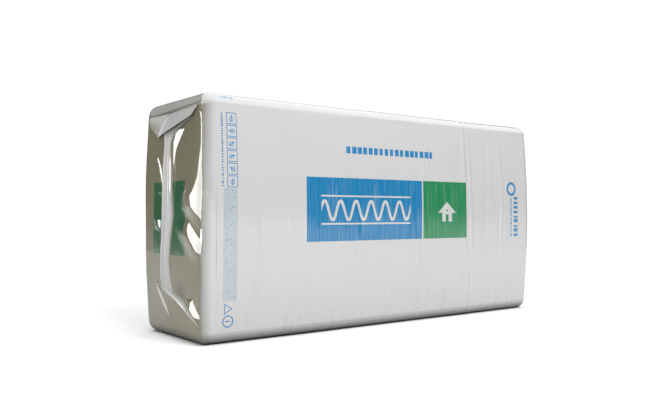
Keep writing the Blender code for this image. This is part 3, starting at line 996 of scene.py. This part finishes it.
def build_band(name, side):
    """The pleated ribbon: u runs across it from left to right, v from its foot to its head."""
    bm, u, v = grid_sheet(BAND_CELLS)
    foot = BAND_FOOT[0] + (BAND_FOOT[1] - BAND_FOOT[0]) * u
    z = foot + (BAND_HEIGHTS[-1] - foot) * v
    left = np.interp(z, BAND_HEIGHTS, BAND_LEFT)
    right = np.interp(z, BAND_HEIGHTS, BAND_RIGHT)
    y = fit_side(left + (right - left) * u, side)
    crown = 1.0 - np.abs(2.0 * u - 1.0) ** 20
    pleat = 0.60 * np.sin(2 * math.pi * (2.0 * u + 0.15 * np.sin(9.0 * z)) + 1.2)
    pleat += 0.40 * np.sin(2 * math.pi * (5.0 * u - 0.2 * np.sin(7.0 * z + 1.0)))
    seat = plain_plane(z) + np.interp(z, SEAT_HEIGHTS, BAND_SEAT)
    seat += BAND_PROUD * (0.6 + 0.25 * pleat)
    x = end_plane(y, z, side) * (1.0 - crown) + seat * crown
    # thinner at the foot and towards the head; painted shade at both edges and under the flap; lighter
    # where a pleat stands out, as painted shading; and a painted highlight down the right
    layers = 0.80 + 0.06 * pleat - 0.25 * (1.0 - smooth(z, 0.10, 0.16))
    layers -= 0.15 * (1.0 - smooth(u, 0.0, 0.3)) + 0.55 * smooth(u, 0.84, 1.0)
    layers -= 0.95 * smooth(z, 0.500, 0.528) * smooth(u, 0.1, 0.7) + 0.25 * smooth(z, 0.40, 0.48)
    painted_highlight_line = smooth(u, 0.86, 0.90) * (1.0 - smooth(u, 0.94, 0.98))
    layers += 1.4 * painted_highlight_line * smooth(z, 0.36, 0.38) * (1.0 - smooth(z, 0.44, 0.46))
    return place_sheet(name, bm, x, y, z, layers, side, BAND_SHEET)


build_band("seam_band_left", -1)
build_band("seam_band_right", 1)

# %% [markdown]
# ## The tucks
#
# Above the band the end of the film is folded down. A flap lies against the end at the left,
# and the main flap stands away from it along its lower edge. The shadow in that gap is painted on
# a narrow dark strip that runs from the lower edge back to the end. The eye is lower than the flap,
# so a part that stands out also looks higher, and SIGHT_RISE lowers it again.

# %% The main flap over the band, and the painted shadow in its gap
FLAP_CELLS = (70, 28)
FLAP_HEAD = ((0.004, 0.565), (-0.140, 0.573))
FLAP_TIP = (0.080, 0.512)
FLAP_CORNER = (-0.114, 0.552)
FLAP_END = (-0.143, 0.568)
FLAP_STAND = 0.0160
FLAP_SHEET = 0.0010
THIN_SHEET = 0.0004
SIGHT_RISE = 0.3


def flap_points(u, v, side):
    """The main flap: u runs from its crease to its right end, v from its head to its lower edge."""
    head_y = FLAP_HEAD[0][0] + (FLAP_HEAD[1][0] - FLAP_HEAD[0][0]) * u
    head_z = FLAP_HEAD[0][1] + (FLAP_HEAD[1][1] - FLAP_HEAD[0][1]) * u
    knots = (0.0, 0.86, 1.0)
    low_y = np.interp(u, knots, (FLAP_TIP[0], FLAP_CORNER[0], FLAP_END[0]))
    low_z = np.interp(u, knots, (FLAP_TIP[1], FLAP_CORNER[1], FLAP_END[1]))
    bulge = 0.008 * np.sin(math.pi * v) * (1.0 - smooth(u, 0.0, 0.5))
    y = head_y + (low_y - head_y) * v + bulge
    z = head_z + (low_z - head_z) * v + 0.5 * bulge
    rounded = np.sqrt(np.clip(u / 0.10, 0.0, 1.0))
    stand = 0.0015 + FLAP_STAND * v ** 0.8 * rounded * (1.0 - u) ** 0.5
    y = fit_side(y - SIGHT_RUN * stand, side)
    z = z - SIGHT_RISE * stand
    return end_plane(y, z, side) + stand, y, z


def build_flap(name, side):
    """The main flap, tucked in at its head, with a painted highlight on the crease down its left side."""
    bm, u, v = grid_sheet(FLAP_CELLS)
    x, y, z = flap_points(u, v, side)
    x = x - 0.003 * smooth(z, 0.560, 0.580)
    # Lighter towards its standing lower edge and darker towards its right end, as painted shading.
    layers = 0.82 + 0.14 * smooth(v, 0.0, 0.9) - 0.45 * smooth(u, 0.2, 0.95)
    # The crease down its left side gets a painted highlight, near white.
    layers += 0.85 * (1.0 - smooth(u, 0.03, 0.16)) * smooth(v, 0.0, 0.4)
    return place_sheet(name, bm, x, y, z, layers, side, FLAP_SHEET)


def build_gap_shadow(name, side):
    """A dark strip under the main flap's lower edge that paints the shadow in the gap; it tapers to
    nothing at both ends.
    """
    bm, share, v = grid_sheet((60, 4))
    u = 0.02 + 0.70 * share
    taper = np.sin(math.pi * share) ** 0.5
    edge_x, edge_y, edge_z = flap_points(u, np.full_like(u, 0.985), side)
    back = end_plane(edge_y, edge_z, side) + 0.0005
    x = edge_x - 0.0012 + (back - edge_x + 0.0012) * v
    y = edge_y + SIGHT_RUN * (edge_x - 0.0012 - x)
    z = edge_z - (0.0010 + 0.0065 * u) * v * taper
    return place_sheet(name, bm, x, y, z, np.full_like(u, -1.0), side, THIN_SHEET)


# %% The flap beside it, and the painted shadow under the crease above both
SIDE_FLAP = ((0.131, 0.567), (0.129, 0.543))
FOLD_SHADOW = ((0.110, 0.567), (-0.160, 0.577))
FOLD_SHADOW_WIDTH = 0.0026


def build_fold_shadow(name, side):
    """A dark strip that paints the shadow under the rounded top edge, where the flaps turn out from under
    it.
    """
    bm, u, v = grid_sheet((60, 2))
    (left_y, left_z), (right_y, right_z) = FOLD_SHADOW
    y = left_y + (right_y - left_y) * u
    z = left_z + (right_z - left_z) * u + FOLD_SHADOW_WIDTH * v
    y = fit_side(y, side)
    over = np.clip(z - (PACK_HEIGHT - EDGE_RADIUS), 0.0, EDGE_RADIUS)
    inset = EDGE_RADIUS - np.sqrt(EDGE_RADIUS ** 2 - over ** 2)
    x = plain_plane(z) + end_relief(y, z, side) + 0.0008 - inset
    return place_sheet(name, bm, x, y, z, np.full_like(u, -0.5), side, THIN_SHEET)


def build_side_flap(name, side):
    """The flap that lies against the end, left of the main flap's crease."""
    bm, u, v = grid_sheet((24, 24))
    (head_y, head_z), (low_y, low_z) = SIDE_FLAP
    right_y = FLAP_HEAD[0][0] + (FLAP_TIP[0] - 0.004 - FLAP_HEAD[0][0]) * v
    right_z = FLAP_HEAD[0][1] + (FLAP_TIP[1] + 0.003 - FLAP_HEAD[0][1]) * v
    left_y = head_y + (low_y - head_y) * v
    left_z = head_z + (low_z - head_z) * v
    y = fit_side(left_y + (right_y - left_y) * u, side)
    z = left_z + (right_z - left_z) * u
    x = end_plane(y, z, side) + 0.0012 + 0.0015 * u
    layers = 0.75 - 1.10 * smooth(v, 0.0, 0.95) * (1.0 - 0.5 * u)
    return place_sheet(name, bm, x, y, z, layers, side, BAND_SHEET)


# %% [markdown]
# Below the band the film is folded up. The upper fold is a roll: its lower edge is a crisp line
# that stands proud, given a painted highlight, and above the line it falls back to the end. The
# lower fold is narrower and round. Both follow a path of three points, and both thin out to
# nothing at their ends.

# %% The folds below the band
RIDGE_CELLS = (70, 10)
RIDGE_SHEET = 0.0006
UPPER_RIDGE = ((0.089, 0.142), (-0.044, 0.099), (-0.152, 0.052))
LOWER_RIDGE = ((0.080, 0.137), (0.045, 0.101), (-0.002, 0.054))


def build_ridge(name, side, path, width, proud, roll):
    """A fold along three points. roll 1 falls evenly from its lower edge, 0 is a round ridge."""
    bm, u, v = grid_sheet(RIDGE_CELLS)
    knots = (0.0, 0.5, 1.0)
    y = np.interp(u, knots, [p[0] for p in path])
    z = np.interp(u, knots, [p[1] for p in path])
    run = np.array([path[2][0] - path[0][0], path[2][1] - path[0][1]])
    run /= np.linalg.norm(run)
    swell = np.maximum(np.sin(math.pi * u ** (1.0 + 0.8 * roll)), 0.0) ** 0.8
    across = (v - 0.5 * (1.0 - roll)) * width * swell
    y = fit_side(y + across * run[1], side)
    z = z - across * run[0]
    rolled = smooth(v, 0.0, 0.10) * (1.0 - v) ** 0.8
    rounded = 1.0 - (2.0 * v - 1.0) ** 2
    height = roll * rolled + (1.0 - roll) * rounded
    standing = np.minimum(swell + 0.15, 1.0)
    surface = end_plane(y, z, side)
    edge = np.maximum(plain_plane(z) + 0.0024 + proud * standing, surface + 0.3 * proud)
    x = surface + 0.0004 + (edge - surface) * height
    # line: a painted highlight, near white, along the roll's lower edge.
    line = 1.0 - smooth(v, 0.16, 0.26)
    rolled_layers = 0.75 - (0.75 - 0.25 * u) * smooth(v, 0.15, 0.95) + line
    layers = roll * rolled_layers + (1.0 - roll) * 0.72
    return place_sheet(name, bm, x, y, z, layers, side, RIDGE_SHEET)


# %% Place the folds on both ends
for side, word in ((-1, "left"), (1, "right")):
    build_flap("top_tuck_" + word, side)
    build_gap_shadow("tuck_gap_shadow_" + word, side)
    build_side_flap("side_tuck_" + word, side)
    build_fold_shadow("fold_shadow_" + word, side)
    build_ridge("fold_upper_" + word, side, UPPER_RIDGE, width=0.017, proud=0.0065, roll=1.0)
    build_ridge("fold_lower_" + word, side, LOWER_RIDGE, width=0.010, proud=0.0050, roll=0.0)

# %% [markdown]
# ## Floor, light and camera
#
# The pack stands on a pale floor under a wide overhead light. A very wide sun gives the even light
# of a studio tent, and the floor throws a second light back up at the sides. One tall light box
# stands beside the clear end. It is seen only in the gloss, where it draws the bright patches on
# the facets of the film.

# %% The floor
def studio_floor():
    """A matt, nearly white floor with a hardly visible unevenness."""
    material, tree = new_material("pale_floor")
    place = add(tree, "ShaderNodeTexCoord")["Object"]
    grain = add(tree, NOISE, {"Vector": place, "Scale": 3.0, "Detail": 2.0})[0]
    colour = add(tree, MIX, {"Factor": grain, "A": linear("#F2F2F2"), "B": linear("#F5F5F5")},
                 data_type="RGBA")["Result"]
    shader = add(tree, "ShaderNodeBsdfPrincipled",
                 {"Base Color": colour, "Roughness": 0.9, "Specular IOR Level": 0.1})
    add(tree, "ShaderNodeOutputMaterial", {"Surface": shader["BSDF"]})
    return material


FLOOR_SIZE = 8.0
floor_bm = bmesh.new()
bmesh.ops.create_grid(floor_bm, x_segments=1, y_segments=1, size=FLOOR_SIZE / 2)
floor_mesh = bpy.data.meshes.new("floor")
floor_bm.to_mesh(floor_mesh)
floor_bm.free()
floor = bpy.data.objects.new("floor", floor_mesh)
floor.data.materials.append(studio_floor())
bpy.context.scene.collection.objects.link(floor)

# %% The light
OVERHEAD_STRENGTH = 3.0
OVERHEAD_ANGLE = math.radians(114)
END_BOX_STRENGTH = 49.0
END_BOX_PLACE = (-1.50, 0.07, 0.455)
END_BOX_AIM = (0.0, 0.07, 0.455)
KEY_STRENGTH = 58.0
KEY_PLACE = (-0.2, -2.2, 2.5)
PACK_MIDDLE = (0.0, 0.0, 0.3)
ROOM_LOW = 1.3
ROOM_HIGH = 0.15
ROOM_FRONT = 1.7
ROOM_RIGHT = 0.3
BACKDROP = 1.08


def light(name, kind, place, aim, **settings):
    """A lamp at a place that points at aim."""
    lamp = bpy.data.lights.new(name, kind)
    for field, value in settings.items():
        setattr(lamp, field, value)
    holder = bpy.data.objects.new(name, lamp)
    holder.location = place
    holder.rotation_euler = (Vector(aim) - Vector(place)).to_track_quat("-Z", "Y").to_euler()
    bpy.context.scene.collection.objects.link(holder)
    return holder


light("overhead", "SUN", (0.0, 0.0, 3.0), (0.0, 0.0, 0.0),
      energy=OVERHEAD_STRENGTH, angle=OVERHEAD_ANGLE)
box_light = light("end_box", "AREA", END_BOX_PLACE, END_BOX_AIM,
                  energy=END_BOX_STRENGTH, shape="RECTANGLE", size=1.6, size_y=0.71)
box_light.visible_camera = False
box_light.visible_diffuse = False
key = light("key", "AREA", KEY_PLACE, PACK_MIDDLE,
            energy=KEY_STRENGTH, shape="RECTANGLE", size=1.6, size_y=1.2)
key.visible_camera = False
key.visible_glossy = False

world = bpy.data.worlds.new("studio")
world.use_nodes = True
bpy.context.scene.world = world
sky = world.node_tree
sky.nodes.clear()
direction = add(sky, "ShaderNodeTexCoord")["Generated"]
parts = add(sky, "ShaderNodeSeparateXYZ", {0: direction})
level = add(sky, "ShaderNodeMapRange", {"Value": parts["Z"], "From Min": -0.14, "From Max": 0.02,
                                        "To Min": ROOM_LOW, "To Max": ROOM_HIGH})[0]
front_level = add(sky, "ShaderNodeMapRange",
                  {"Value": parts["Z"], "From Min": -0.03, "From Max": 0.01, "To Min": ROOM_FRONT,
                   "To Max": ROOM_HIGH})[0]
in_front = add(sky, MATH, {0: parts["Y"], 1: 0.0}, operation="LESS_THAN")[0]
level = add(sky, MIX, {"Factor": in_front, "A": level, "B": front_level}, data_type="FLOAT")["Result"]
dark_side = add(sky, "ShaderNodeMapRange", {"Value": parts["X"], "From Min": 0.6, "From Max": 0.85,
                                            "To Min": 1.0, "To Max": ROOM_RIGHT})[0]
level = add(sky, MATH, {0: level, 1: dark_side}, operation="MULTIPLY")[0]
room = add(sky, "ShaderNodeBackground", {"Color": (1.0, 1.0, 1.0, 1.0), "Strength": level})[0]
backdrop = add(sky, "ShaderNodeBackground", {"Color": (1.0, 1.0, 1.0, 1.0), "Strength": BACKDROP})[0]
seen = add(sky, "ShaderNodeLightPath")["Is Camera Ray"]
mixed = add(sky, "ShaderNodeMixShader", {0: seen, 1: room, 2: backdrop})[0]
add(sky, "ShaderNodeOutputWorld", {"Surface": mixed})
bpy.context.scene.view_settings.view_transform = "Standard"

# %% [markdown]
# The camera's place, turn and lens were fitted to the pack's edges as the picture shows them. The
# lens's axis doesn't meet the picture in its middle, so the lens is shifted a little.

# %% The camera
PICTURE_WIDTH = 667
FOCAL_PIXELS = 724.23
SENSOR = 36.0
CAMERA_PLACE = (-1.3857, -1.6995, 0.3107)
CAMERA_LIFT = 0.0114
CAMERA_TURN = -0.6537
camera = bpy.data.objects.new("camera", bpy.data.cameras.new("camera"))
camera.data.sensor_width = SENSOR
camera.data.lens = SENSOR * FOCAL_PIXELS / PICTURE_WIDTH
camera.data.shift_x = -0.00252
camera.data.shift_y = 0.00945
camera.location = CAMERA_PLACE
camera.rotation_euler = (math.pi / 2 + CAMERA_LIFT, 0.0, CAMERA_TURN)
bpy.context.scene.collection.objects.link(camera)
bpy.context.scene.camera = camera
